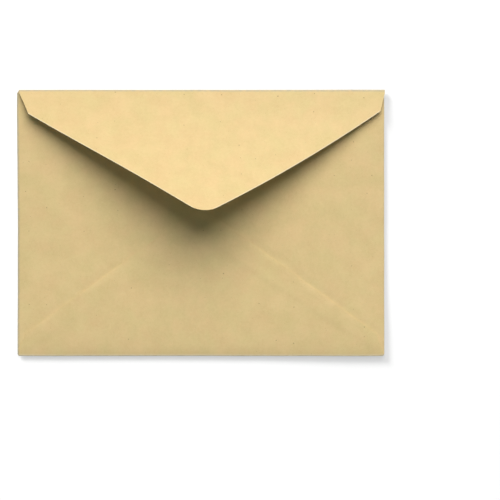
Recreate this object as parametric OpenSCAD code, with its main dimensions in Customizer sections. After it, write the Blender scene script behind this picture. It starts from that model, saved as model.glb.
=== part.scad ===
// Paper envelope with a pointed flap, folded from one sheet and seen from its back.
// It lies on its address side. +X runs along the width, +Y towards the flap's fold, +Z up.
// The origin is on the surface it lies on, under the middle of the address panel.

/* [Envelope] */
// Width of the folded envelope, over its side folds
envelope_w = 184.2; // [150:0.1:240]
// Height of the folded envelope, from the bottom fold to the flap's fold
envelope_h = 133.4; // [110:0.1:150]

/* [Paper] */
// Thickness of the paper
paper_t = 0.15; // [0.1:0.01:0.3]
// Clear depth inside the empty pocket
pocket_gap = 1; // [0.6:0.1:4]
// Free play between the flap's fold and the layers it closes over
fold_play = 0.1; // [0.05:0.05:0.5]

/* [Bottom flap] */
// Height of the bottom flap's shoulders above the bottom fold
bottom_shoulder_h = 11; // [6:0.5:20]
// How far the bottom flap's shoulders stand in from the side folds
bottom_shoulder_in = 3.6; // [2:0.1:8]
// How far the bottom flap's point, before rounding, reaches past the middle of the envelope
bottom_past_middle = 8; // [2:0.1:12]
// Radius at the bottom flap's point
bottom_tip_r = 5; // [4:1:20]

/* [Top flap] */
// Depth of the top flap's shoulders below its fold
top_shoulder_d = 12.6; // [6:0.1:20]
// How far the top flap's shoulders stand in from the side folds
top_shoulder_in = 3.8; // [2:0.1:8]
// How far the closed top flap's point, before rounding, reaches past the middle
top_past_middle = 5.9; // [2:0.1:16]
// Radius at the top flap's point
top_tip_r = 12; // [4:1:20]
// Angle by which the top flap stands open at its fold
lift_angle = 21; // [5:0.5:60]
// Angle through which the top flap curls from its fold to its point
curl_angle = 17; // [2:1:40]

/* [Side flaps] */
// Width left open between the tips of the two side flaps
throat_w = 3; // [2:0.5:40]
// Lap of each side flap under the glued bottom flap, at the side flap's tip
seam_lap = 12; // [6:0.5:18]
// Lap of each side flap under the closed top flap, at the side flap's tip
mouth_lap = 10; // [4:0.5:16]
// Radius at the two corners of a side flap's tip
side_tip_r = 6; // [2:1:8]
// Length left off each end of a fold, where the cuts between flaps meet
corner_notch = 1; // [0.8:0.1:3]
// Radius at the shoulders of the top and bottom flaps
shoulder_r = 1.5; // [1:0.5:5]
// How far the cuts of the top and bottom flaps start in from the ends of their folds
cut_in = 0.2; // [0.1:0.05:1]

/* [Hidden] */
kraft = "#f0d499";

// A length as it reads in six digits. Parts that meet across a fold are placed at such lengths.
function written(length) = round(1000 * length) / 1000;

// A side fold's outer radius, which leaves the pocket its clear depth
side_r = paper_t + pocket_gap / 2;
// The bottom flap lies on the side flaps, so its fold is half a sheet bigger in radius
bottom_r = side_r + paper_t / 2;
// The top flap closes over all the other layers
top_r = bottom_r + paper_t / 2 + fold_play;
half_w = envelope_w / 2;
half_h = envelope_h / 2;
// Where the flat address panel ends and its folds begin
panel_x = written(half_w - side_r);
panel_low = written(bottom_r - half_h);
panel_high = written(half_h - top_r);
pocket_top = 2 * side_r;

// Depths of the two points before they are rounded, and the slopes of the edges that lead to them
bottom_depth = half_h + bottom_past_middle;
top_depth = half_h + top_past_middle;
bottom_slope = (bottom_depth - bottom_shoulder_h) / (half_w - bottom_shoulder_in);
top_slope = (top_depth - top_shoulder_d) / (half_w - top_shoulder_in);

// Radius of the top flap's curl, measured to its outer face
curl_r = written((top_depth - top_r) * 180 / (PI * curl_angle));

// Chords in each rounded corner of an outline
arc_steps = 8;
// Stretches into which each long edge of the curled flap's outline is divided
edge_steps = 6;

function unit(v) = v / norm(v);
function turned(v, angle) = [v.x * cos(angle) - v.y * sin(angle), v.x * sin(angle) + v.y * cos(angle)];

// Points of the arc that rounds corner p, on the way from point a to point b
function rounded(a, p, b, r) =
    let (back = unit(a - p), on = unit(b - p), half = acos(back * on) / 2,
        centre = p + unit(back + on) * r / sin(half),
        start = p + back * r / tan(half) - centre,
        side = sign(back.y * on.x - back.x * on.y))
    [for (i = [0:arc_steps]) centre + turned(start, side * (180 - 2 * half) * i / arc_steps)];

// Points that divide the line from p to q into equal stretches, without its ends
function between(p, q, steps) = [for (i = [1:1:steps - 1]) p + (q - p) * i / steps];

// A pointed flap's cut edge, flat, from its left end to its right: x along the fold and y the depth
function pointed_edge(start_d, shoulder_in, shoulder_d, depth, tip_r, steps) =
    let (start = [cut_in - panel_x, start_d], shoulder = [shoulder_in - half_w, shoulder_d],
        tip = [0, depth],
        left = rounded(start, shoulder, tip, shoulder_r),
        point = rounded(shoulder, tip, [-shoulder.x, shoulder.y], tip_r),
        half = concat([start], left, between(left[arc_steps], point[0], steps)))
    concat(half, point, [for (i = [len(half) - 1:-1:0]) [-half[i].x, half[i].y]]);

// Paper bent about the X axis: it starts under the axis and turns by way of +Y
module bend(outer_r, length, turn) {
    rotate([0, 90, 0])
        rotate_extrude(angle = turn)
            translate([outer_r - paper_t, -length / 2])
                square([paper_t, length]);
}

module address_panel() {
    translate([-panel_x, panel_low, 0])
        cube([2 * panel_x, panel_high - panel_low, paper_t]);
}

// The +X side fold and the side flap that it turns in over the panel
module side_flap() {
    fold_low = panel_low + corner_notch;
    fold_high = panel_high - corner_notch;
    tip_x = throat_w / 2;
    // The other flaps' edges on the line of the tip, and the laps under them, square to each edge
    bottom_edge = -half_h + bottom_depth - tip_x * bottom_slope;
    top_edge = half_h - top_depth + tip_x * top_slope;
    low = [panel_x, fold_low];
    tip_low = [tip_x, bottom_edge - seam_lap * norm([1, bottom_slope])];
    tip_high = [tip_x, top_edge + mouth_lap * norm([1, top_slope])];
    high = [panel_x, fold_high];
    translate([panel_x, (fold_low + fold_high) / 2, side_r])
        rotate([0, 0, -90])
            bend(side_r, fold_high - fold_low, 180, $fn = 48);
    translate([0, 0, pocket_top - paper_t])
        linear_extrude(paper_t)
            polygon(concat([low], rounded(low, tip_low, tip_high, side_tip_r),
                rounded(tip_low, tip_high, high, side_tip_r), [high]));
}

// The bottom fold and the flap that it turns up, glued flat on the side flaps
module bottom_flap() {
    translate([0, panel_low, bottom_r])
        rotate([0, 0, 180])
            bend(bottom_r, 2 * panel_x, 180, $fn = 48);
    translate([0, -half_h, pocket_top])
        linear_extrude(paper_t)
            polygon(pointed_edge(half_h + panel_low, bottom_shoulder_in, bottom_shoulder_h, bottom_depth,
                bottom_tip_r, 1));
}

// The flap for closing. It stands open, and curls up from its fold to its point.
module top_flap() {
    edge = pointed_edge(top_r + corner_notch, top_shoulder_in, top_shoulder_d, top_depth, top_tip_r,
        edge_steps);
    // The cut edge seen square to the sheet at its fold, where the curl brings the depths in
    plan = [for (p = edge) [p.x, -curl_r * sin((p.y - top_r) / curl_r * 180 / PI)]];
    translate([0, panel_high, top_r]) {
        bend(top_r, 2 * panel_x, 180 - lift_angle, $fn = 48);
        rotate([-lift_angle, 0, 0])
            intersection() {
                translate([0, 0, top_r])
                    translate([0, 0, curl_r])
                        mirror([0, 1, 0])
                            bend(curl_r + paper_t, envelope_w, curl_angle, $fn = 240);
                linear_extrude(top_depth)
                    polygon(concat([[edge[0].x, top_r]], plan, [[-edge[0].x, top_r]]));
            }
    }
}

module envelope() {
    color(kraft) {
        address_panel();
        side_flap();
        mirror([1, 0, 0]) side_flap();
        bottom_flap();
        top_flap();
    }
}

envelope();
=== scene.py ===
# %% [markdown]
# # A kraft paper envelope, folded from one sheet
# The frame holds the envelope as a plain folded solid. This lesson cuts the same sheet flat, as a
# stationer would, folds it at the frame's own fold lines, gives it the small bulges of real paper, and
# finishes it in brown kraft. Lengths are in metres, +X is the width and +Y points to the flap's fold.

# %% Load the frame
import math

import bpy
import numpy as np
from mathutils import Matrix, Vector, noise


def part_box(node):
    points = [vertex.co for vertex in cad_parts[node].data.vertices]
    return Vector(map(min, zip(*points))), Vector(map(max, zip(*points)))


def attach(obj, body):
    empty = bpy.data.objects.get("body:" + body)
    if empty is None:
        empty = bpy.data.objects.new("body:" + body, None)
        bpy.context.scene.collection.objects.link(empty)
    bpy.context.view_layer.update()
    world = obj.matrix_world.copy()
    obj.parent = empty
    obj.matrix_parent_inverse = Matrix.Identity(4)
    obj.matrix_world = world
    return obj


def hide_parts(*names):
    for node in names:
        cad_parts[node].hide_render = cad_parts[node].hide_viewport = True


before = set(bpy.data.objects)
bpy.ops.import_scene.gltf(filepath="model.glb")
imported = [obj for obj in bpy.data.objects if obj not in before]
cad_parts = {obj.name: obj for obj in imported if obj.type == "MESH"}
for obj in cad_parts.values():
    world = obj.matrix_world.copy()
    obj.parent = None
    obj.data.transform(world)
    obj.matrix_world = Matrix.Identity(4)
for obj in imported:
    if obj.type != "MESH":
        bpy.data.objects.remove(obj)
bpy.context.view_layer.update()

# %% [markdown]
# ## Camera
# The photograph looks straight down on the envelope, with next to no perspective, so the camera is high
# and its lens is long. The envelope isn't in the middle of the picture: its edges were read from the
# photograph, which gives both the scale and how far the camera stands to one side.

# %% Camera over the table
MM = 0.001
PHOTO_PX = 500
EDGE_PX = {"left": 17.9, "right": 384.0, "top": 89.2, "bottom": 355.6}
CAMERA_HEIGHT = 1.4
CAMERA_SEES_TO = 10
SENSOR_WIDTH = 36

low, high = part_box("envelope")
envelope_w = high.x - low.x
envelope_h = high.y - low.y
px_size = envelope_w / (EDGE_PX["right"] - EDGE_PX["left"])
camera_x = (PHOTO_PX / 2 - (EDGE_PX["left"] + EDGE_PX["right"]) / 2) * px_size
camera_y = ((EDGE_PX["top"] + EDGE_PX["bottom"]) / 2 - PHOTO_PX / 2) * px_size

bpy.ops.object.camera_add(location=(camera_x, camera_y, CAMERA_HEIGHT), rotation=(0, 0, 0))
camera = bpy.context.object
camera.name = "camera"
camera.data.sensor_width = SENSOR_WIDTH
camera.data.lens = camera.data.sensor_width * CAMERA_HEIGHT / (PHOTO_PX * px_size)
camera.data.clip_end = CAMERA_SEES_TO
bpy.context.scene.camera = camera
bpy.context.scene.view_settings.view_transform = "Standard"
print("camera over", round(camera_x / MM, 1), round(camera_y / MM, 1), "mm, lens", round(camera.data.lens))

# %% [markdown]
# ## Table, backdrop and light
# The photograph's ground is pure white with a faint shadow. The table here is a grey sheet that takes the
# shadow, and it glows for the camera alone, so it reaches white where no shadow falls on it. The world is
# white for the camera too. One large soft lamp, high on the flap's side and a little to the right, lights
# the paper and casts the soft shadow of the raised flap. A weak, cool, even sky stands for the light that
# comes from the room.

# %% Table
TABLE_SIZE = 6
TABLE_GREY = 0.25
TABLE_GLOW = 0.57
bpy.ops.mesh.primitive_plane_add(size=TABLE_SIZE, location=(0, 0, 0))
table = bpy.context.object
table.name = "table"
table_paint = bpy.data.materials.new("table_white")
table_paint.use_nodes = True
nodes, links = table_paint.node_tree.nodes, table_paint.node_tree.links
nodes.clear()
table_out = nodes.new("ShaderNodeOutputMaterial")
table_diffuse = nodes.new("ShaderNodeBsdfDiffuse")
table_diffuse.inputs["Color"].default_value = (TABLE_GREY, TABLE_GREY, TABLE_GREY, 1)
table_glow = nodes.new("ShaderNodeEmission")
table_rays = nodes.new("ShaderNodeLightPath")
table_scale = nodes.new("ShaderNodeMath")
table_scale.operation = "MULTIPLY"
table_scale.inputs[1].default_value = TABLE_GLOW
table_sum = nodes.new("ShaderNodeAddShader")
links.new(table_rays.outputs["Is Camera Ray"], table_scale.inputs[0])
links.new(table_scale.outputs[0], table_glow.inputs["Strength"])
links.new(table_diffuse.outputs[0], table_sum.inputs[0])
links.new(table_glow.outputs[0], table_sum.inputs[1])
links.new(table_sum.outputs[0], table_out.inputs["Surface"])
table.data.materials.append(table_paint)
print("table", table.name)

# %% World
SKY = (0.62, 0.95, 1.0)
SKY_STRENGTH = 0.125
world = bpy.data.worlds.new("white_room")
bpy.context.scene.world = world
world.use_nodes = True
nodes, links = world.node_tree.nodes, world.node_tree.links
nodes.clear()
world_out = nodes.new("ShaderNodeOutputWorld")
room_light = nodes.new("ShaderNodeBackground")
room_light.inputs["Color"].default_value = (*SKY, 1)
room_light.inputs["Strength"].default_value = SKY_STRENGTH
white_ground = nodes.new("ShaderNodeBackground")
white_ground.inputs["Color"].default_value = (1, 1, 1, 1)
white_ground.inputs["Strength"].default_value = 1
seen_by = nodes.new("ShaderNodeLightPath")
pick = nodes.new("ShaderNodeMixShader")
links.new(seen_by.outputs["Is Camera Ray"], pick.inputs[0])
links.new(room_light.outputs[0], pick.inputs[1])
links.new(white_ground.outputs[0], pick.inputs[2])
links.new(pick.outputs[0], world_out.inputs["Surface"])
print("sky strength", SKY_STRENGTH)

# %% Main lamp
def disc_lamp(name, elevation, azimuth, distance, size, power, tint):
    """A round lamp aimed at the origin. Its azimuth turns from the flap's side to the right."""
    up, east = math.radians(elevation), math.radians(azimuth)
    towards_lamp = Vector((math.sin(east) * math.cos(up), math.cos(east) * math.cos(up), math.sin(up)))
    bpy.ops.object.light_add(type="AREA", location=towards_lamp * distance)
    lamp = bpy.context.object
    lamp.name = name
    lamp.rotation_euler = towards_lamp.to_track_quat("Z", "Y").to_euler()
    lamp.data.shape = "DISK"
    lamp.data.size = size
    lamp.data.energy = power
    lamp.data.color = tint
    return lamp


lamp = disc_lamp("window_lamp", elevation=50, azimuth=6, distance=2.0, size=1.9, power=44.6,
                 tint=(1.0, 0.955, 0.93))
print("lamp at", [round(v, 2) for v in lamp.location])

# %% [markdown]
# The photograph has a soft shadow on the ground at the envelope's right too, though the flap's own shadow
# says that its light comes from the top. A second lamp, low in the upper left, casts it. It is linked to
# the table alone, so that it brightens neither the paper nor the shadow under the flap.

# %% Lamp for the ground
ground_lamp = disc_lamp("ground_lamp", elevation=27, azimuth=-38, distance=4.0, size=1.8, power=430,
                        tint=(1, 1, 1))
lit_by_it = bpy.data.collections.new("lit_by_ground_lamp")
lit_by_it.objects.link(table)
ground_lamp.light_linking.receiver_collection = lit_by_it
print("ground lamp at", [round(v, 2) for v in ground_lamp.location])

# %% [markdown]
# ## The sheet's sizes
# These repeat the part's own driving sizes, apart from the flap's lift and curl, which are those of the
# envelope in the photograph. A fold here is a row of hinge lines, each turned by the same small angle,
# which is how a soft crease looks up close. The hinges of a fold lie on its middle layer, so the distance
# between them follows from the fold's radius and the angle that one hinge turns.

# %% Sizes of paper and folds
PAPER = 0.15 * MM
POCKET_GAP = 1.0 * MM
FOLD_PLAY = 0.1 * MM
GLUE = 0.02 * MM
HINGES = 12
LIFT = math.radians(17.8)
CURL = math.radians(19)
half_w = envelope_w / 2
half_h = envelope_h / 2
side_r = PAPER + POCKET_GAP / 2
bottom_r = side_r + PAPER / 2
top_r = bottom_r + PAPER / 2 + FOLD_PLAY
panel_x = half_w - side_r
panel_low = -half_h + bottom_r
panel_high = half_h - top_r


def hinge_step(outer_r, turn):
    """The distance between the hinge lines of a fold with that outer radius and whole turn."""
    return 2 * (outer_r - PAPER / 2) * math.tan(turn / HINGES / 2)


side_step = hinge_step(side_r, math.pi)
bottom_step = hinge_step(bottom_r + GLUE / 2, math.pi)
top_step = hinge_step(top_r, math.pi - LIFT)
print("hinge steps in mm", [round(s / MM, 3) for s in (side_step, bottom_step, top_step)])

# %% [markdown]
# ## Outlines of the flaps
# A flap's cut edge is a few straight cuts with rounded corners. Each outline is written where the flap
# lies once it is folded, which is how the photograph shows it, and is then laid out flat. On the blank a
# point lies as far beyond its fold as it lies inside the fold on the envelope, and the length that the
# fold takes up comes in between.

# %% Rounded corners
def rounded(before, corner, after, radius, steps):
    """Points of the arc that rounds a corner, on the way from the point before it to the one after."""
    before, corner, after = (np.array(p, float) for p in (before, corner, after))
    back = (before - corner) / np.linalg.norm(before - corner)
    on = (after - corner) / np.linalg.norm(after - corner)
    half = math.acos(float(back @ on)) / 2
    middle = (back + on) / np.linalg.norm(back + on)
    centre = corner + middle * radius / math.sin(half)
    start = corner + back * radius / math.tan(half) - centre
    turn = math.copysign(math.pi - 2 * half, back[1] * on[0] - back[0] * on[1])
    points = []
    for i in range(steps + 1):
        a = turn * i / steps
        points.append(centre + np.array([start[0] * math.cos(a) - start[1] * math.sin(a),
                                         start[0] * math.sin(a) + start[1] * math.cos(a)]))
    return points


print("a square corner rounded by 1:", [p.round(2).tolist() for p in rounded((0, 5), (0, 0), (5, 0), 1, 2)])

# %% [markdown]
# The photograph's envelope was cut a little askew: the top flap's left shoulder lies deeper and farther in
# than its right one. Two numbers say so. One moves the shoulders and the point to the right, and the other
# is the slope by which the left shoulder is deeper. The part itself has neither, and its top flap is a
# little less deep, because it is as designed.

# %% Outline of a pointed flap
CUT_IN = 0.2 * MM
SHOULDER_R = 1.5 * MM
CORNER_NOTCH = 1 * MM
SHOULDER_STEPS = 3
TIP_STEPS = 10
BOTTOM = {"inset": 3.6 * MM, "shoulder": 11 * MM, "depth": half_h + 8 * MM, "tip_r": 5 * MM,
          "aside": 0, "askew": 0}
TOP = {"inset": 3.8 * MM, "shoulder": 12.6 * MM, "depth": half_h + 6.2 * MM, "tip_r": 12 * MM,
       "aside": 1.4 * MM, "askew": 0.015}
cut_x = panel_x - CUT_IN


def pointed_outline(start_depth, cuts):
    """A pointed flap's cut edge from left to right: x along the fold, and the depth from the fold."""
    reach = half_w - cuts["inset"]
    left, right = ((side * reach + cuts["aside"], cuts["shoulder"] - side * reach * cuts["askew"])
                   for side in (-1, 1))
    start, tip, end = (-cut_x, start_depth), (cuts["aside"], cuts["depth"]), (cut_x, start_depth)
    return [start, *rounded(start, left, tip, SHOULDER_R, SHOULDER_STEPS),
            *rounded(left, tip, right, cuts["tip_r"], TIP_STEPS),
            *rounded(tip, right, end, SHOULDER_R, SHOULDER_STEPS), end]


bottom_edge = pointed_outline(bottom_r, BOTTOM)
top_edge = pointed_outline(top_r + CORNER_NOTCH, TOP)
bottom_slope, top_slope = ((cuts["depth"] - cuts["shoulder"]) / (half_w - cuts["inset"])
                           for cuts in (BOTTOM, TOP))
print("slopes of the long cuts", round(bottom_slope, 3), round(top_slope, 3))

# %% Outline of a side flap
THROAT = 3 * MM
SEAM_LAP = 12 * MM
MOUTH_LAP = 10 * MM
SIDE_TIP_R = 6 * MM
SIDE_TIP_STEPS = 6
tip_x = THROAT / 2
fold_low = panel_low + CORNER_NOTCH
fold_high = panel_high - CORNER_NOTCH
tip_low = (tip_x, -half_h + BOTTOM["depth"] - tip_x * bottom_slope - SEAM_LAP * math.hypot(1, bottom_slope))
tip_high = (tip_x, half_h - TOP["depth"] + tip_x * top_slope + MOUTH_LAP * math.hypot(1, top_slope))
side_edge = [(panel_x, fold_low),
             *rounded((panel_x, fold_low), tip_low, tip_high, SIDE_TIP_R, SIDE_TIP_STEPS),
             *rounded(tip_low, tip_high, (panel_x, fold_high), SIDE_TIP_R, SIDE_TIP_STEPS),
             (panel_x, fold_high)]
print("side flap tip from", round(tip_low[1] / MM, 1), "to", round(tip_high[1] / MM, 1), "mm")

# %% [markdown]
# ## Cutting the blank
# A stationer's knife cuts the whole blank at once. Here each part of it starts as a grid of small squares
# of paper, which can later bend smoothly, and is cut to its outline with one straight cut after another.
# The grids share their rows and columns, so that they join up point to point where the folds will be.

# %% Grids and cuts
CELL = 1.25 * MM
HAIR = 0.001 * MM
x_reach = panel_x + side_step / 2
y_low = panel_low - bottom_step / 2
y_high = panel_high + top_step / 2
columns = round(2 * x_reach / CELL)
rows = round((y_high - y_low) / CELL)


def paper_grid(name, x0, x1, y0, y1, across, up):
    """A flat grid of paper between those limits, in the blank's plane."""
    bpy.ops.object.select_all(action="DESELECT")
    bpy.ops.mesh.primitive_grid_add(x_subdivisions=across, y_subdivisions=up, size=1,
                                    location=((x0 + x1) / 2, (y0 + y1) / 2, PAPER / 2))
    grid = bpy.context.object
    grid.name = name
    grid.scale = (x1 - x0, y1 - y0, 1)
    bpy.ops.object.transform_apply()
    return grid


def cut(grid, start, end, drop=True):
    """Cuts a grid along the line from start to end, and drops what lies right of it."""
    square = Vector((end[1] - start[1], start[0] - end[0], 0)).normalized()
    bpy.context.view_layer.objects.active = grid
    bpy.ops.object.mode_set(mode="EDIT")
    bpy.ops.mesh.select_all(action="SELECT")
    bpy.ops.mesh.bisect(plane_co=(start[0], start[1], 0), plane_no=square, clear_outer=drop,
                        threshold=HAIR)
    bpy.ops.object.mode_set(mode="OBJECT")


def cut_outline(grid, outline):
    """Cuts a grid to the left of each stretch of an outline."""
    for start, end in zip(outline, outline[1:]):
        cut(grid, start, end)
    return grid


print("blank grid", columns, "by", rows)

# %% The address panel, with the lines where the corners' notches start
panel = paper_grid("panel", -x_reach, x_reach, y_low, y_high, columns, rows)
for x in (-cut_x, cut_x):
    cut(panel, (x, 0), (x, 1), drop=False)
for y in (fold_low, fold_high):
    cut(panel, (0, y), (1, y), drop=False)
print("panel", len(panel.data.vertices), "points")

# %% Side folds and side flaps
side_zone = HINGES * side_step
side_start = x_reach + (HINGES - 1) * side_step
side_end = 2 * panel_x + side_zone - tip_x
side_parts = []
for sign in (1, -1):
    strip_x = sorted((sign * x_reach, sign * side_start))
    flap_x = sorted((sign * side_start, sign * side_end))
    strip = paper_grid("side_fold", *strip_x, y_low, y_high, HINGES - 1, rows)
    flap = paper_grid("side_flap", *flap_x, y_low, y_high, round((side_end - side_start) / CELL), rows)
    for part in (strip, flap):
        cut(part, (0, fold_low), (1, fold_low))
        cut(part, (1, fold_high), (0, fold_high))
    outline = [(sign * (2 * panel_x + side_zone - x), y) for x, y in side_edge]
    cut_outline(flap, outline if sign > 0 else outline[::-1])
    side_parts += [strip, flap]
print("side flap reaches", round((side_end - panel_x) / MM, 1), "mm past its fold")

# %% Bottom and top folds, with their pointed flaps
bottom_zone = HINGES * bottom_step
top_zone = HINGES * top_step
bottom_start = y_low - (HINGES - 1) * bottom_step
top_start = y_high + (HINGES - 1) * top_step
bottom_end = panel_low - bottom_zone - (BOTTOM["depth"] - bottom_r)
top_end = panel_high + top_zone + (TOP["depth"] - top_r)
bottom_strip = paper_grid("bottom_fold", -x_reach, x_reach, bottom_start, y_low, columns, HINGES - 1)
top_strip = paper_grid("top_fold", -x_reach, x_reach, y_high, top_start, columns, HINGES - 1)
bottom_flap = paper_grid("bottom_flap", -x_reach, x_reach, bottom_end, bottom_start, columns,
                         round((bottom_start - bottom_end) / CELL))
top_flap = paper_grid("top_flap", -x_reach, x_reach, top_start, top_end, columns,
                      round((top_end - top_start) / CELL))
for part in (bottom_strip, top_strip, bottom_flap, top_flap):
    cut(part, (-cut_x, 1), (-cut_x, 0))
    cut(part, (cut_x, 0), (cut_x, 1))
cut_outline(bottom_flap, [(x, panel_low - bottom_zone - (d - bottom_r)) for x, d in bottom_edge])
cut_outline(top_flap, [(x, panel_high + top_zone + (d - top_r)) for x, d in reversed(top_edge)])
print("flaps", len(bottom_flap.data.vertices), len(top_flap.data.vertices), "points")

# %% [markdown]
# The parts become one sheet, and the points that lie on each other merge. The blank is in its plane now,
# so this is the moment to keep where each point lies on it: the paper's fibres, gum, and the painted light
# and shade along its folds and cut follow the sheet and not the room, and they read it from this UV map.
# The blank is seen from its inner side, so its faces are turned over: their front is the paper's outer side.

# %% One blank
SHEET_SPAN = 0.4
bpy.ops.object.select_all(action="DESELECT")
for part in (panel, *side_parts, bottom_strip, top_strip, bottom_flap, top_flap):
    part.select_set(True)
bpy.context.view_layer.objects.active = panel
bpy.ops.object.join()
sheet = panel
sheet.name = "folded_envelope"
sheet.data.name = "folded_envelope"
bpy.ops.object.mode_set(mode="EDIT")
bpy.ops.mesh.select_all(action="SELECT")
bpy.ops.mesh.remove_doubles(threshold=2 * HAIR)
bpy.ops.mesh.select_all(action="SELECT")
bpy.ops.mesh.flip_normals()
bpy.ops.object.mode_set(mode="OBJECT")


def points_of(mesh):
    """A mesh's points as rows of numbers."""
    values = np.empty(len(mesh.vertices) * 3)
    mesh.vertices.foreach_get("co", values)
    return values.reshape(-1, 3)


def place_points(mesh, points):
    """Moves a mesh's points to those rows of numbers."""
    mesh.vertices.foreach_set("co", points.ravel())
    mesh.update()


flat = points_of(sheet.data)
sheet_map = sheet.data.uv_layers[0]
sheet_map.name = "sheet"
corners = np.empty(len(sheet.data.loops), dtype=np.int64)
sheet.data.loops.foreach_get("vertex_index", corners)
sheet_map.data.foreach_set("uv", (flat[corners, :2] / SHEET_SPAN + 0.5).ravel())
print("blank", len(flat), "points,", len(sheet.data.polygons), "faces,",
      "spans", (flat.max(0) - flat.min(0)).round(3)[:2].tolist())

# %% [markdown]
# ## Folding
# Each flap is folded the way a hand does it: everything beyond a hinge line turns up about it. The
# farthest hinge goes first, so that every hinge is still in its flat place when its turn comes. The two
# side flaps go in, the bottom flap is glued over them, and the top flap stays open.

# %% Fold up
def fold(axis, sign, hinges, turn):
    """Folds the sheet up by that turn at each hinge line, all beyond it, from the farthest one in."""
    reach = flat[:, axis] * sign
    bpy.context.view_layer.objects.active = sheet
    bpy.ops.object.mode_set(mode="EDIT")
    bpy.ops.mesh.select_all(action="DESELECT")
    bpy.ops.object.mode_set(mode="OBJECT")
    for hinge in sorted(hinges, reverse=True):
        sheet.data.vertices.foreach_set("select", reach > hinge + HAIR)
        centre = [0, 0, PAPER / 2]
        centre[axis] = sign * hinge
        bpy.ops.object.mode_set(mode="EDIT")
        bpy.ops.transform.rotate(value=turn * sign * (1, -1)[axis], orient_axis="YX"[axis],
                                 center_override=centre)
        bpy.ops.object.mode_set(mode="OBJECT")


side_hinges = [x_reach + i * side_step for i in range(HINGES)]
fold(0, 1, side_hinges, math.pi / HINGES)
fold(0, -1, side_hinges, math.pi / HINGES)
fold(1, -1, [-y_low + i * bottom_step for i in range(HINGES)], math.pi / HINGES)
folded = points_of(sheet.data)
print("pocket folded, top at", round(folded[:, 2].max() / MM, 3), "mm")

# %% [markdown]
# The top flap turns over in the same way, but stops where it stands open. From there on its paper keeps
# the curl of the reel it came from, so it goes on turning up a little at every row, and less and less
# towards its point. The rows' shares add up to 0.96 of the curl.

# %% Top flap, opened and curled
CURL_ROWS = 28
curl_step = (top_end - top_start) / CURL_ROWS
for row in range(CURL_ROWS - 1, 0, -1):
    share = 2 * (CURL_ROWS - row) / CURL_ROWS ** 2
    fold(1, 1, [top_start + row * curl_step], -CURL * share)
fold(1, 1, [y_high + i * top_step for i in range(HINGES)], (math.pi - LIFT) / HINGES)
folded = points_of(sheet.data)
print("flap's point at", (folded[flat[:, 1].argmax()] / MM).round(2).tolist(), "mm")

# %% [markdown]
# ## What the paper does by itself
# A folded sheet is never quite flat. The flap was opened by one hand, so its left end stands higher than
# its right. A bone folder has pressed the side and bottom folds flatter and tighter than the pocket. From
# there the pocket's back springs up, steeply at first and then less, and most of all at the mouth, where
# nothing holds it down. The whole envelope lifts a little off the table towards its right and bottom
# edges, and a faint cockle runs all over it. These are the envelope's own shapes, so they are moved
# points and not bumps in a finish.

# %% Helpers for soft shapes
NOISE_GAIN = 1.6


def ramp(values, start, end):
    """Rises smoothly from 0 at start to 1 at end."""
    share = np.clip((values - start) / (end - start), 0, 1)
    return share * share * (3 - 2 * share)


def waves(px, py, size, seed):
    """Gentle random waves of about that size, between about -1 and 1, the same in every run."""
    raw = np.array([noise.noise(Vector((u / size, v / size, seed))) for u, v in zip(px, py)])
    return raw * NOISE_GAIN


def ripples(px, py, layers):
    """A sum of waves, each given by its height and size in millimetres and its seed."""
    return sum(height * MM * waves(px, py, size * MM, seed) for height, size, seed in layers)


print("ramp", ramp(np.array([0, 0.25, 0.5, 1]), 0, 1).round(3).tolist())

# %% Twist of the open flap
TWIST_X = (-half_w, -0.6 * half_w, half_w)
TWIST = [math.radians(a) for a in (4.8, 5.6, -10)]
TWIST_BLUR = np.linspace(-25, 25, 11) * MM
x, y, z = folded.T.copy()
past_fold = np.clip((flat[:, 1] - y_high) / (top_start - y_high), 0, 1)
twist = past_fold * sum(np.interp(x + shift, TWIST_X, TWIST) for shift in TWIST_BLUR) / len(TWIST_BLUR)
dy = y - panel_high
dz = z - top_r
y = panel_high + dy * np.cos(twist) + dz * np.sin(twist)
z = top_r + dz * np.cos(twist) - dy * np.sin(twist)
print("flap's highest point", round(z.max() / MM, 2), "mm")

# %% Lift of the pocket's back, and of the whole envelope from the table
PRESSED = 0.75 * MM
SPRINGS = ((0.4 * MM, 2.5 * MM), (0.8 * MM, 13 * MM))
BULGE = 0.8 * MM
BULGE_REACH = 60 * MM
BULGE_FULL_AT = 10 * MM
TIGHT = 0.3
TIGHT_ZONE = 3 * MM
LIFT_RIGHT, LIFT_RIGHT_FROM = 1.1 * MM, -10 * MM
LIFT_BOTTOM, LIFT_BOTTOM_FROM = 1.4 * MM, 5 * MM
LIFT_POWER = 1.5
on_top_flap = flat[:, 1] > y_high
from_side = np.maximum(half_w - np.abs(x), 0)
from_bottom = np.maximum(y + half_h, 0)
x += np.where(on_top_flap, 0, np.sign(x) * from_side * (1 - TIGHT) * (1 - ramp(from_side, 0, TIGHT_ZONE)))
y -= from_bottom * (1 - TIGHT) * (1 - ramp(from_bottom, 0, TIGHT_ZONE))
from_side = np.maximum(half_w - np.abs(x), 0)
from_bottom = np.maximum(y + half_h, 0)
over_panel = np.clip(np.where(on_top_flap, 0, (z - PAPER / 2) / (2 * side_r - PAPER)), 0, 1)
puff = sum(rise * (1 - np.exp(-from_side / reach)) * (1 - np.exp(-from_bottom / reach))
           for rise, reach in SPRINGS) - PRESSED
bulge = BULGE * ramp(from_side, 0, BULGE_REACH) * ramp(y, -half_h, BULGE_FULL_AT)
lift = (LIFT_RIGHT * ramp(x, LIFT_RIGHT_FROM, half_w) ** LIFT_POWER
        + LIFT_BOTTOM * ramp(-y, LIFT_BOTTOM_FROM, half_h) ** LIFT_POWER)
z += over_panel * (puff + bulge) + lift
print("pocket's back up to", round(z[~on_top_flap].max() / MM, 2), "mm")

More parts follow.
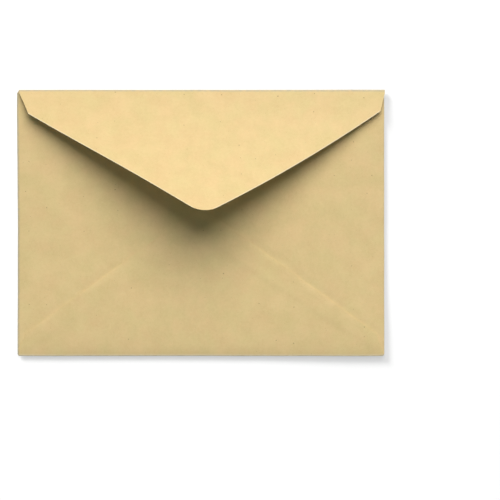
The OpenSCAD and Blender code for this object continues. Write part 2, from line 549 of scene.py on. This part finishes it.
# %% Cockle
POCKET_COCKLE = ((0.10, 26, 1.5), (0.035, 9, 4.5))
FLAP_COCKLE = ((0.16, 30, 12.5), (0.03, 10, 15.5))
PANEL_COCKLE = 0.05 * MM
PANEL_WAVE = (30 * MM, 8.5)
pocket_waves = ripples(x, y, POCKET_COCKLE)
panel_waves = PANEL_COCKLE * (1 + waves(x, y, *PANEL_WAVE))
flap_waves = ripples(x, flat[:, 1], FLAP_COCKLE)
z += np.where(on_top_flap, past_fold * flap_waves, over_panel * pocket_waves)
z += (1 - over_panel) * (1 - past_fold) * panel_waves
print("waves", [round(w.std() / MM, 3) for w in (pocket_waves, panel_waves, flap_waves)])

# %% [markdown]
# The glued seam shows. The bottom flap lies over the side flaps, and sinks by a sheet's thickness where
# they end under it. Its own cut edge isn't glued to the very brink, so it stands up a little, unevenly, and
# the press has left a shallow groove beside it. The address panel has one shallow buckle across it.

# %% Seam
BRINK = 0.10 * MM
BRINK_FADE = 1.2 * MM
BRINK_WAVE = (11 * MM, 21.5)
BRINK_MEAN, BRINK_RANGE = 0.5, (0.1, 1.2)
GROOVE = 0.20 * MM
GROOVE_ZONE = (-5 * MM, -0.2 * MM, 1.8 * MM)
GROOVE_WAVE = (13 * MM, 27.5)
GROOVE_MEAN, GROOVE_RANGE = 0.6, (0.15, 1.2)
SUNK_ZONE = (-2.5 * MM, 0.3 * MM)
TOP_LAYER_POWER = 4
on_bottom_flap = np.clip((y_low - flat[:, 1]) / (y_low - bottom_start), 0, 1) ** TOP_LAYER_POWER
side_slope = (tip_low[1] - fold_low) / (panel_x - tip_x)
above_side_edge = (y - fold_low - (panel_x - np.abs(x)) * side_slope) / math.hypot(1, side_slope)
sunk = 1 - ramp(above_side_edge, *SUNK_ZONE)
inside_cut = (BOTTOM["depth"] - half_h - np.abs(x) * bottom_slope - y) / math.hypot(1, bottom_slope)
brink = np.exp(-np.maximum(inside_cut, 0) / BRINK_FADE)
brink *= np.clip(BRINK_MEAN + waves(x, y, *BRINK_WAVE), *BRINK_RANGE)
groove = ramp(inside_cut, *GROOVE_ZONE[:2]) * (1 - ramp(inside_cut, *GROOVE_ZONE[1:]))
groove *= np.clip(GROOVE_MEAN + waves(x, y, *GROOVE_WAVE), *GROOVE_RANGE)
z += on_bottom_flap * (BRINK * brink - PAPER * sunk) - over_panel ** TOP_LAYER_POWER * GROOVE * groove
print("seam in, deepest groove", round((GROOVE * groove).max() / MM, 2), "mm")

# %% Buckle
BUCKLE = 0.3 * MM
BUCKLE_WIDTH = 9 * MM
BUCKLE_LENGTH = 34 * MM
BUCKLE_AT = (-8 * MM, -6 * MM)
ACROSS_X, ACROSS_Y = 0.55, 0.835
buckle_x, buckle_y = x - BUCKLE_AT[0], y - BUCKLE_AT[1]
across = (buckle_x * ACROSS_X + buckle_y * ACROSS_Y) / BUCKLE_WIDTH
along = (buckle_x * ACROSS_Y - buckle_y * ACROSS_X) / BUCKLE_LENGTH
z += (1 - over_panel) * (1 - past_fold) * BUCKLE * np.exp(-across ** 2 - along ** 4)
print("lowest point", round(z.min() / MM, 3), "mm")

# %% [markdown]
# No fold runs dead straight either. The flap sits half a millimetre to the right, and its fold spreads a
# little at both ends. The left side fold leans out towards the top. The side folds lie half a millimetre
# low, apart from their top ends, which reach up past the notches, and the bottom fold lies low too. Wear
# has moved the folded edges in by up to about a tenth of a millimetre, unevenly.

# %% Uneven folds
FLAP_ASIDE = 0.5 * MM
FLAP_SPREAD, SPREAD_ZONE = 0.65 * MM, 10 * MM
LEAN, LEAN_FROM = 0.45 * MM, -10 * MM
TOP_ENDS_UP = 1.0 * MM
SIDE_FOLDS_DOWN = 0.5 * MM
ENDS_ZONE = 3 * MM
past_ends = 1 - ramp(flat[:, 1], top_start, top_start + SPREAD_ZONE)
x += (FLAP_ASIDE + FLAP_SPREAD * x / half_w * past_ends) * ramp(flat[:, 1], fold_high, y_high)
x -= LEAN * (1 - past_fold) * ramp(-x, 0, half_w) * ramp(y, LEAN_FROM, half_h)
in_side_fold = ramp(np.abs(flat[:, 0]), x_reach, x_reach + side_step)
y += TOP_ENDS_UP * in_side_fold * ramp(y, fold_high - ENDS_ZONE, fold_high)
y -= SIDE_FOLDS_DOWN * in_side_fold * ramp(-y, ENDS_ZONE - fold_low, -fold_low)
print("left edge leans by", round(LEAN / MM, 2), "mm")

# %% Worn edges, and the low bottom fold
SIDE_WEAR = 0.07 * MM
TOP_WEAR = 0.03 * MM
WEAR_ZONE = 2.5 * MM
SIDE_WAVE, BOTTOM_WAVE, TOP_WAVE = (17 * MM, 31.5), (19 * MM, 33.5), (23 * MM, 35.5)
LOW_BOTTOM = 0.45 * MM
near_side = np.exp(-from_side / WEAR_ZONE) * (1 - past_fold)
near_bottom = np.exp(-from_bottom / WEAR_ZONE) * (1 - past_fold)
near_top = np.exp(-np.maximum(half_h - y, 0) / WEAR_ZONE)
x -= np.sign(x) * near_side * SIDE_WEAR * (1 + waves(y, x * 0, *SIDE_WAVE))
y += near_bottom * SIDE_WEAR * (1 + waves(x, y * 0, *BOTTOM_WAVE))
y -= near_top * TOP_WEAR * (1 + waves(x, y * 0, *TOP_WAVE))
y -= LOW_BOTTOM * ramp(-y, 0, half_h)
placed = np.column_stack((x, y, z))
place_points(sheet.data, placed)
print("sheet spans in mm", (placed.min(0) / MM).round(2).tolist(), (placed.max(0) / MM).round(2).tolist())

# %% [markdown]
# ## Thickness
# So far the sheet has no thickness. Now it gets 0.15 mm, shared out to both sides of the folded surface.
# The outer side, the inner side and the cut edges each get a finish of their own.

# %% Give the sheet its thickness
SMOOTH_UNDER = math.radians(40)
outer_kraft, inner_kraft, cut_kraft = (bpy.data.materials.new(name) for name in
                                       ("kraft_outer", "kraft_inner", "kraft_cut_edge"))
for finish in (outer_kraft, inner_kraft, cut_kraft):
    finish.use_nodes = True
    sheet.data.materials.append(finish)
bpy.ops.object.select_all(action="DESELECT")
sheet.select_set(True)
bpy.context.view_layer.objects.active = sheet
bpy.ops.object.modifier_add(type="SOLIDIFY")
solidify = sheet.modifiers[-1]
solidify.thickness = PAPER
solidify.offset = 0
solidify.use_even_offset = True
solidify.material_offset = 1
solidify.material_offset_rim = 2
bpy.ops.object.modifier_apply(modifier=solidify.name)
bpy.ops.object.shade_smooth_by_angle(angle=SMOOTH_UNDER)
sheet.data.calc_loop_triangles()
print("thick sheet", len(sheet.data.loop_triangles), "triangles")

# %% [markdown]
# ## Brown kraft paper
# Kraft is made of long unbleached fibres, so its colour is cloudy over a few millimetres, and drifts a
# little between green and rose over a centimetre or so. Single fibres show as fine streaks a little paler
# than the rest, and here and there a speck of bark is left in. The shaders below work in millimetres on
# the flat sheet, from the map made before folding, so that the cloud and the fibres run on round the
# folds as they do in paper.

# %% Shader helpers
def new_group(name, takes, gives):
    """An empty node group with those inputs and outputs, each given as {name: socket type}."""
    group = bpy.data.node_groups.new(name, "ShaderNodeTree")
    for label, kind in takes.items():
        group.interface.new_socket(name=label, in_out="INPUT", socket_type=kind)
    for label, kind in gives.items():
        group.interface.new_socket(name=label, in_out="OUTPUT", socket_type=kind)
    return group, group.nodes.new("NodeGroupInput").outputs, group.nodes.new("NodeGroupOutput").inputs


def feed(tree, socket, source):
    """Feeds an input from another socket, or sets it to a plain value."""
    if isinstance(source, bpy.types.NodeSocket):
        tree.links.new(source, socket)
    else:
        socket.default_value = source


def add(tree, kind, *sources, **settings):
    """Adds a node with those settings, feeds its usable inputs in order, and gives back the node."""
    node = tree.nodes.new(kind)
    for name, setting in settings.items():
        setattr(node, name, setting)
    for socket, source in zip([s for s in node.inputs if s.enabled], sources):
        feed(tree, socket, source)
    return node


def calc(tree, operation, *sources, clamp=False):
    """The result of a maths node."""
    return add(tree, "ShaderNodeMath", *sources, operation=operation, use_clamp=clamp).outputs[0]


def vector(tree, operation, *sources):
    """The result of a vector maths node."""
    return add(tree, "ShaderNodeVectorMath", *sources, operation=operation).outputs[0]


def soft_step(tree, source, start, end):
    """Rises smoothly from 0 where the source is start to 1 where it is end."""
    return add(tree, "ShaderNodeMapRange", source, start, end, interpolation_type="SMOOTHSTEP").outputs[0]


def blend(tree, share, first, second, mode="MIX"):
    """The colour that lies that share of the way from the first to the second."""
    node = tree.nodes.new("ShaderNodeMix")
    node.data_type = "RGBA"
    node.blend_type = mode
    feed(tree, node.inputs["Factor"], share)
    colours = [s for s in node.inputs if s.type == "RGBA"]
    for socket, source in zip(colours, (first, second)):
        feed(tree, socket, source if isinstance(source, bpy.types.NodeSocket) else (*source, 1))
    return [s for s in node.outputs if s.type == "RGBA"][0]


FLOAT, VECTOR = "NodeSocketFloat", "NodeSocketVector"
print("shader helpers ready")

# %% Where on the sheet, in millimetres
sheet_place, takes, gives = new_group("sheet_place", {"Map": VECTOR}, {"Place": VECTOR})
centred = vector(sheet_place, "SUBTRACT", takes["Map"], (0.5, 0.5, 0))
span_mm = SHEET_SPAN / MM
feed(sheet_place, gives["Place"], vector(sheet_place, "MULTIPLY", centred, (span_mm, span_mm, 0)))
print(sheet_place.name, "spans", span_mm, "mm")

# %% Cloudiness
CLOUD_RANGE = (0.25, 0.75)
cloud_group, takes, gives = new_group("cloudiness", {"Place": VECTOR, "Size": FLOAT}, {"Cloud": FLOAT})
cloud_scale = calc(cloud_group, "DIVIDE", 1.0, takes["Size"])
cloud_noise = add(cloud_group, "ShaderNodeTexNoise")
feed(cloud_group, cloud_noise.inputs["Vector"], takes["Place"])
feed(cloud_group, cloud_noise.inputs["Scale"], cloud_scale)
cloud_noise.inputs["Detail"].default_value = 3
cloud_noise.inputs["Roughness"].default_value = 0.55
feed(cloud_group, gives["Cloud"], soft_step(cloud_group, cloud_noise.outputs[0], *CLOUD_RANGE))
print(cloud_group.name)

# %% Fibres, felted in every direction
FIBRE_TURNS = (0.2, 1.0, 1.75, 2.55)
LAYER_GAP = 7.3
FIBRE_EDGE = 0.045
fibre_group, takes, gives = new_group("fibres", {"Place": VECTOR, "Length": FLOAT, "Width": FLOAT},
                                      {"Fibre": FLOAT})
slim = add(fibre_group, "ShaderNodeCombineXYZ", calc(fibre_group, "DIVIDE", 1.0, takes["Length"]),
           calc(fibre_group, "DIVIDE", 1.0, takes["Width"]), 1.0).outputs[0]
felt = 0.0
for layer, fibre_turn in enumerate(FIBRE_TURNS):
    turned = add(fibre_group, "ShaderNodeVectorRotate", rotation_type="Z_AXIS")
    feed(fibre_group, turned.inputs["Vector"], takes["Place"])
    turned.inputs["Angle"].default_value = fibre_turn
    lane = vector(fibre_group, "ADD", vector(fibre_group, "MULTIPLY", turned.outputs[0], slim),
                  (0, 0, LAYER_GAP * layer))
    streak = add(fibre_group, "ShaderNodeTexNoise")
    feed(fibre_group, streak.inputs["Vector"], lane)
    streak.inputs["Scale"].default_value = 1
    streak.inputs["Detail"].default_value = 1
    streak.inputs["Distortion"].default_value = 0.5
    off_middle = calc(fibre_group, "ABSOLUTE", calc(fibre_group, "SUBTRACT", streak.outputs[0], 0.5))
    felt = calc(fibre_group, "MAXIMUM", felt, soft_step(fibre_group, off_middle, FIBRE_EDGE, 0.0))
feed(fibre_group, gives["Fibre"], felt)
print(fibre_group.name, "in", len(FIBRE_TURNS), "directions")

# %% Specks of bark
WANDER_SCALE = 1.6
WANDER = (0.7, 0.7, 0)
SMALLEST_SPECK = 0.35
speck_group, takes, gives = new_group(
    "specks", {"Place": VECTOR, "Spacing": FLOAT, "Size": FLOAT, "Share": FLOAT}, {"Speck": FLOAT})
wander = add(speck_group, "ShaderNodeTexNoise")
feed(speck_group, wander.inputs["Vector"], takes["Place"])
wander.inputs["Scale"].default_value = WANDER_SCALE
shifted = vector(speck_group, "ADD", takes["Place"],
                 vector(speck_group, "MULTIPLY", wander.outputs[1], WANDER))
per_cell = add(speck_group, "ShaderNodeCombineXYZ", calc(speck_group, "DIVIDE", 1.0, takes["Spacing"]),
               calc(speck_group, "DIVIDE", 1.0, takes["Spacing"]), 0.0).outputs[0]
cells = add(speck_group, "ShaderNodeTexVoronoi", voronoi_dimensions="2D")
feed(speck_group, cells.inputs["Vector"], vector(speck_group, "MULTIPLY", shifted, per_cell))
cells.inputs["Scale"].default_value = 1
chance = add(speck_group, "ShaderNodeSeparateColor", cells.outputs["Color"]).outputs
chosen = calc(speck_group, "LESS_THAN", chance[0], takes["Share"])
radius = calc(speck_group, "MULTIPLY", takes["Size"], calc(speck_group, "ADD", chance[1], SMALLEST_SPECK))
away = calc(speck_group, "DIVIDE", calc(speck_group, "MULTIPLY", cells.outputs["Distance"],
                                        takes["Spacing"]), radius)
round_spot = soft_step(speck_group, away, 1.0, 0.4)
feed(speck_group, gives["Speck"], calc(speck_group, "MULTIPLY", chosen, round_spot))
print(speck_group.name)

# %% Nearness to a fold
# The painted shade and light along a fold are at full strength within this share of their width.
FULL_MARK_SHARE = 0.4
FOLD_LINES = {"side": (panel_x + side_zone / 2) / MM, "bottom": (bottom_zone / 2 - panel_low) / MM,
              "top": (panel_high + top_zone / 2) / MM}
crease_group, takes, gives = new_group("creases", {"Place": VECTOR, "Width": FLOAT},
                                       {"Side": FLOAT, "Bottom": FLOAT, "Top": FLOAT})
axes = add(crease_group, "ShaderNodeSeparateXYZ", takes["Place"]).outputs
gaps = {"Side": calc(crease_group, "SUBTRACT", calc(crease_group, "ABSOLUTE", axes[0]), FOLD_LINES["side"]),
        "Bottom": calc(crease_group, "ADD", axes[1], FOLD_LINES["bottom"]),
        "Top": calc(crease_group, "SUBTRACT", axes[1], FOLD_LINES["top"])}
for fold_name, gap in gaps.items():
    away = calc(crease_group, "ABSOLUTE", gap)
    full_within = calc(crease_group, "MULTIPLY", takes["Width"], FULL_MARK_SHARE)
    feed(crease_group, gives[fold_name], soft_step(crease_group, away, takes["Width"], full_within))
print("fold lines in mm", {k: round(v, 2) for k, v in FOLD_LINES.items()})

# %% Distance in from the top flap's long cuts
TOP_CUTS = {"Tip": top_end / MM, "Slope": top_slope, "Aside": TOP["aside"] / MM, "Askew": TOP["askew"]}
cut_group, takes, gives = new_group(
    "cut_distance", {"Place": VECTOR, "Tip": FLOAT, "Slope": FLOAT, "Aside": FLOAT, "Askew": FLOAT},
    {"Distance": FLOAT})
axes = add(cut_group, "ShaderNodeSeparateXYZ", takes["Place"]).outputs
from_tip = calc(cut_group, "SUBTRACT", axes[0], takes["Aside"])
even_fall = calc(cut_group, "MULTIPLY", calc(cut_group, "ABSOLUTE", from_tip), takes["Slope"])
fall = calc(cut_group, "ADD", even_fall, calc(cut_group, "MULTIPLY", from_tip, takes["Askew"]))
drop = calc(cut_group, "SUBTRACT", calc(cut_group, "SUBTRACT", takes["Tip"], axes[1]), fall)
length = calc(cut_group, "SQRT", calc(cut_group, "ADD", calc(cut_group, "POWER", takes["Slope"], 2.0), 1.0))
feed(cut_group, gives["Distance"], calc(cut_group, "DIVIDE", drop, length))
print("flap's tip at", round(TOP_CUTS["Tip"], 2), "mm on the sheet")

# %% [markdown]
# ## Three finishes
# The outer side, the inner side and the cut edge are built on the same stock, and differ in tone and in
# grain. The outer side was pressed smoothest, so its grain is the shallowest. The inner side is a little
# duller in colour. A cut edge shows torn fibre ends, which are paler than both.

# %% The common stock, with its sizes in millimetres
WIDE_CLOUD, WIDE_SHARE = 9.0, 0.65
CLOSE_CLOUD, CLOSE_SHARE = 1.6, 0.35
DRIFT_CLOUD = 13.0
DRIFT_PLACE = (310, 170, 0)
GREEN_CAST = (0.965, 1.005, 0.975)
ROSE_CAST = (1.03, 0.99, 1.02)
FIBRE_SIZE = {"Length": 2.6, "Width": 0.28}
SPECKS = {"Spacing": 9.0, "Size": 0.32, "Share": 0.3}
FLECKS = {"Spacing": 2.6, "Size": 0.13, "Share": 0.5}
SPECK_TONE = (0.33, 0.20, 0.085)
FIBRE_SHOWS, SPECK_SHOWS, FLECK_SHOWS = 0.35, 0.55, 0.3
GRAIN_SCALE = 3.2
FIBRE_RELIEF, CLOUD_RELIEF = 0.4, 0.6


def use(tree, group, **sources):
    """Puts a node group into a tree and gives back its outputs."""
    node = tree.nodes.new("ShaderNodeGroup")
    node.node_tree = group
    for name, source in sources.items():
        feed(tree, node.inputs[name], source)
    return node.outputs


def paper_stock(tree, light_tone, deep_tone, fibre_tone):
    """The sheet's place, colour and relief, before the gum and the painted light and shade go on."""
    sheet_uv = tree.nodes.new("ShaderNodeUVMap")
    sheet_uv.uv_map = "sheet"
    place = use(tree, sheet_place, Map=sheet_uv.outputs[0])["Place"]
    wide = use(tree, cloud_group, Place=place, Size=WIDE_CLOUD)["Cloud"]
    close = use(tree, cloud_group, Place=place, Size=CLOSE_CLOUD)["Cloud"]
    fibres = use(tree, fibre_group, Place=place, **FIBRE_SIZE)["Fibre"]
    specks = use(tree, speck_group, Place=place, **SPECKS)["Speck"]
    flecks = use(tree, speck_group, Place=place, **FLECKS)["Speck"]
    cloudy = calc(tree, "ADD", calc(tree, "MULTIPLY", wide, WIDE_SHARE),
                  calc(tree, "MULTIPLY", close, CLOSE_SHARE))
    colour = blend(tree, cloudy, deep_tone, light_tone)
    drift = use(tree, cloud_group, Place=vector(tree, "ADD", place, DRIFT_PLACE), Size=DRIFT_CLOUD)["Cloud"]
    colour = blend(tree, 1.0, colour, blend(tree, drift, GREEN_CAST, ROSE_CAST), "MULTIPLY")
    colour = blend(tree, calc(tree, "MULTIPLY", fibres, FIBRE_SHOWS), colour, fibre_tone)
    colour = blend(tree, calc(tree, "MULTIPLY", specks, SPECK_SHOWS), colour, SPECK_TONE)
    colour = blend(tree, calc(tree, "MULTIPLY", flecks, FLECK_SHOWS), colour, SPECK_TONE)
    grain = add(tree, "ShaderNodeTexNoise")
    feed(tree, grain.inputs["Vector"], place)
    grain.inputs["Scale"].default_value = GRAIN_SCALE
    grain.inputs["Detail"].default_value = 2
    relief = calc(tree, "ADD", calc(tree, "MULTIPLY", fibres, FIBRE_RELIEF), grain.outputs[0])
    return place, colour, calc(tree, "ADD", relief, calc(tree, "MULTIPLY", close, CLOUD_RELIEF))


print("stock ready, clouds of", WIDE_CLOUD, CLOSE_CLOUD, DRIFT_CLOUD, "mm")

# %% Shader of a finish
PAPER_IOR = 1.3
BUMP_DEPTH = 0.03 * MM


def set_finish(material, colour, relief, roughness, bump):
    """Feeds a paper's colour and relief to its shader, and sets how matte and how rough it is."""
    tree = material.node_tree
    shader = tree.nodes["Principled BSDF"]
    bumps = tree.nodes.new("ShaderNodeBump")
    bumps.inputs["Strength"].default_value = bump
    bumps.inputs["Distance"].default_value = BUMP_DEPTH
    feed(tree, bumps.inputs["Height"], relief)
    feed(tree, shader.inputs["Base Color"], colour)
    feed(tree, shader.inputs["Normal"], bumps.outputs[0])
    feed(tree, shader.inputs["Roughness"], roughness)
    shader.inputs["IOR"].default_value = PAPER_IOR


print("bump depth", BUMP_DEPTH / MM, "mm")

# %% [markdown]
# The outer side carries painted light and shade. The top fold and the left side fold are painted darker,
# as shade, the bottom fold is painted paler, as light, and the brink of the flap's cut gets a thin painted
# highlight. The flap is painted slightly darker from right to left, as shade that evens out the stronger
# light on its higher left end.

# %% Outer side
OUTER_LIGHT = (0.925, 0.702, 0.345)
OUTER_DEEP = (0.825, 0.612, 0.285)
OUTER_FIBRE = (0.95, 0.75, 0.41)
# Painted light and shade: the pale tone lights the bottom fold and the flap's cut brink, and the dark tone
# shades the top fold and the left side fold.
PAINTED_LIGHT_TONE = (0.97, 0.84, 0.58)
FOLD_SHADE_TONE = (0.57, 0.52, 0.37)
FOLD_MARK_WIDTH = 2.1
PATCH_SIZE, PATCH_SPREAD, LEAST_PATCH = 2.2, 0.5, 0.4
LEFT_HALF = (60.0, -60.0)
CUT_HIGHLIGHT_BAND, CUT_HIGHLIGHT_SHOWS = (0.7, 0.1), 0.75
FLAP_SPAN = (90.0, -90.0)
# Painted light and shade across the flap: paler at its right end, darker at its left.
FLAP_RIGHT_LIGHT = (1.02, 1.02, 1.02)
FLAP_LEFT_SHADE = (0.965, 0.955, 0.94)
OUTER_ROUGHNESS, OUTER_BUMP = 0.75, 0.5
tree = outer_kraft.node_tree
place, colour, relief = paper_stock(tree, OUTER_LIGHT, OUTER_DEEP, OUTER_FIBRE)
sheet_x, sheet_y, _ = add(tree, "ShaderNodeSeparateXYZ", place).outputs
crease = use(tree, crease_group, Place=place, Width=FOLD_MARK_WIDTH)
patches = use(tree, cloud_group, Place=place, Size=PATCH_SIZE)["Cloud"]
patchy = calc(tree, "ADD", calc(tree, "MULTIPLY", patches, PATCH_SPREAD), LEAST_PATCH)
# Painted light: the bottom fold is painted paler, in patches.
bottom_fold_light = calc(tree, "MULTIPLY", crease["Bottom"], patchy)
# Painted shade: the left side fold and the top fold are painted darker, in patches.
left_side_shade = calc(tree, "MULTIPLY", crease["Side"], soft_step(tree, sheet_x, *LEFT_HALF))
fold_shade = calc(tree, "MULTIPLY", calc(tree, "MAXIMUM", crease["Top"], left_side_shade), patchy)
brink_mm = use(tree, cut_group, **TOP_CUTS, Place=place)["Distance"]
on_flap = calc(tree, "GREATER_THAN", sheet_y, FOLD_LINES["top"])
# Painted highlight: a thin pale line along the brink of the flap's cut.
cut_highlight = calc(tree, "MULTIPLY", on_flap, soft_step(tree, brink_mm, *CUT_HIGHLIGHT_BAND))
# Painted shade: the flap gets darker towards its left end and paler towards its right.
flap_shade_cast = blend(tree, soft_step(tree, sheet_x, *FLAP_SPAN), FLAP_RIGHT_LIGHT, FLAP_LEFT_SHADE)
colour = blend(tree, on_flap, colour, blend(tree, 1.0, colour, flap_shade_cast, "MULTIPLY"))
colour = blend(tree, fold_shade, colour, FOLD_SHADE_TONE)
colour = blend(tree, bottom_fold_light, colour, PAINTED_LIGHT_TONE)
colour = blend(tree, calc(tree, "MULTIPLY", cut_highlight, CUT_HIGHLIGHT_SHOWS), colour, PAINTED_LIGHT_TONE)
set_finish(outer_kraft, colour, relief, OUTER_ROUGHNESS, OUTER_BUMP)
print(outer_kraft.name)

# %% [markdown]
# The photograph doesn't show the flap's inner side. Such a flap has a band of gum along its long cuts,
# which shows as a slightly darker, shinier strip that stops short of the edge.

# %% Inner side
INNER_LIGHT = (0.88, 0.69, 0.38)
INNER_DEEP = (0.82, 0.63, 0.33)
GUM_TONE = (0.78, 0.58, 0.29)
GUM_OUTER, GUM_INNER = (1.6, 2.2), (14.0, 13.2)
GUM_STARTS = (top_start / MM + 6, top_start / MM + 7)
GUM_SHOWS = 0.55
INNER_ROUGHNESS, GUM_SHINE, INNER_BUMP = 0.72, 0.34, 0.6
tree = inner_kraft.node_tree
place, colour, relief = paper_stock(tree, INNER_LIGHT, INNER_DEEP, OUTER_FIBRE)
brink_mm = use(tree, cut_group, **TOP_CUTS, Place=place)["Distance"]
sheet_y = add(tree, "ShaderNodeSeparateXYZ", place).outputs[1]
band = calc(tree, "MULTIPLY", soft_step(tree, brink_mm, *GUM_OUTER), soft_step(tree, brink_mm, *GUM_INNER))
gum = calc(tree, "MULTIPLY", band, soft_step(tree, sheet_y, *GUM_STARTS))
colour = blend(tree, calc(tree, "MULTIPLY", gum, GUM_SHOWS), colour, GUM_TONE)
roughness = calc(tree, "SUBTRACT", INNER_ROUGHNESS, calc(tree, "MULTIPLY", gum, GUM_SHINE))
set_finish(inner_kraft, colour, relief, roughness, INNER_BUMP)
print(inner_kraft.name)

# %% Cut edge
CUT_LIGHT = (0.90, 0.74, 0.45)
CUT_DEEP = (0.80, 0.61, 0.33)
CUT_ROUGHNESS, CUT_BUMP = 0.85, 0.6
_, colour, relief = paper_stock(cut_kraft.node_tree, CUT_LIGHT, CUT_DEEP, OUTER_FIBRE)
set_finish(cut_kraft, colour, relief, CUT_ROUGHNESS, CUT_BUMP)
print(cut_kraft.name)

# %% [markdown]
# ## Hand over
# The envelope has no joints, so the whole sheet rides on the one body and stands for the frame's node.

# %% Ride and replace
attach(sheet, "root")
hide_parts("envelope")
